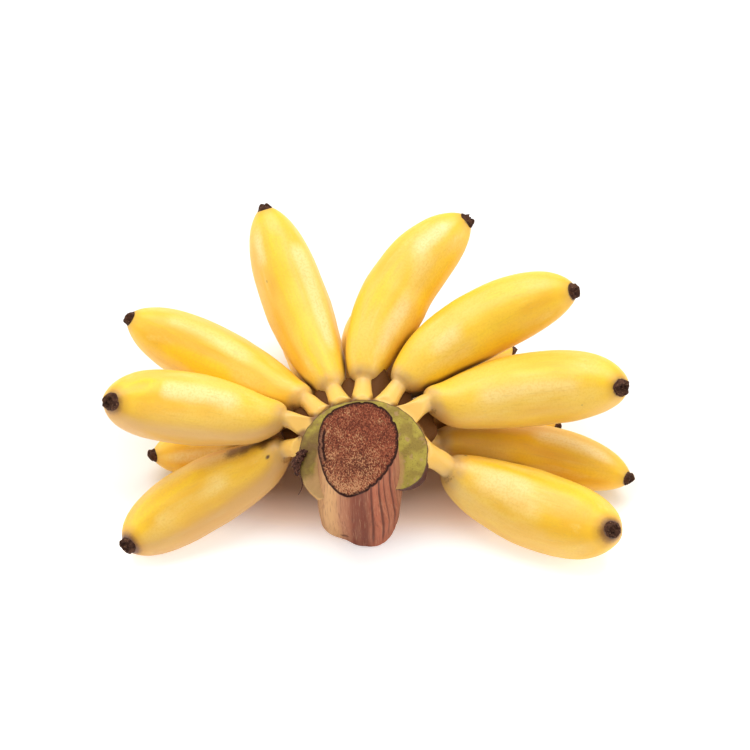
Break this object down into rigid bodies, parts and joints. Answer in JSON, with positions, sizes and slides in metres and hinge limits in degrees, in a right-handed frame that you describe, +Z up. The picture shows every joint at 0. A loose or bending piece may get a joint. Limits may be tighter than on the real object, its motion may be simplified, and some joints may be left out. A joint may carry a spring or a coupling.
{
  "type": "hand of baby bananas",
  "caption": "Hand of small ripe yellow bananas in two fanned rows, joined at one green crown round a short cut stalk.",
  "frame": {"origin": "on the table, under the middle of the hand's bounding box", "axes": "+Z up from the table, +X across the hand to the right as seen from the side that the stalk's cut end faces, -Y towards that side"},
  "size_m": [0.2398, 0.1538, 0.0957],
  "materials": {
    "peel": "satin ripe peel",
    "stalk": "rough dried stalk",
    "crown": "dull green skin",
    "flower_end": "dry and crumbly",
    "bract": "dry and papery"
  },
  "bodies": {
    "root": {"banana_upper_1": "peel", "banana_upper_2": "peel", "banana_upper_3": "peel", "banana_upper_4": "peel", "banana_upper_5": "peel", "banana_upper_6": "peel", "banana_upper_7": "peel", "banana_upper_8": "peel", "banana_lower_1": "peel", "banana_lower_2": "peel", "banana_lower_3": "peel", "banana_lower_4": "peel", "banana_lower_5": "peel", "banana_lower_6": "peel", "banana_lower_7": "peel", "flower_end_upper_1": "flower_end", "flower_end_upper_2": "flower_end", "flower_end_upper_3": "flower_end", "flower_end_upper_4": "flower_end", "flower_end_upper_5": "flower_end", "flower_end_upper_6": "flower_end", "flower_end_upper_7": "flower_end", "flower_end_upper_8": "flower_end", "flower_end_lower_1": "flower_end", "flower_end_lower_2": "flower_end", "flower_end_lower_3": "flower_end", "flower_end_lower_4": "flower_end", "flower_end_lower_5": "flower_end", "flower_end_lower_6": "flower_end", "flower_end_lower_7": "flower_end", "crown": "crown", "stalk": "stalk", "dried_bract": "bract"}
  },
  "joints": []
}
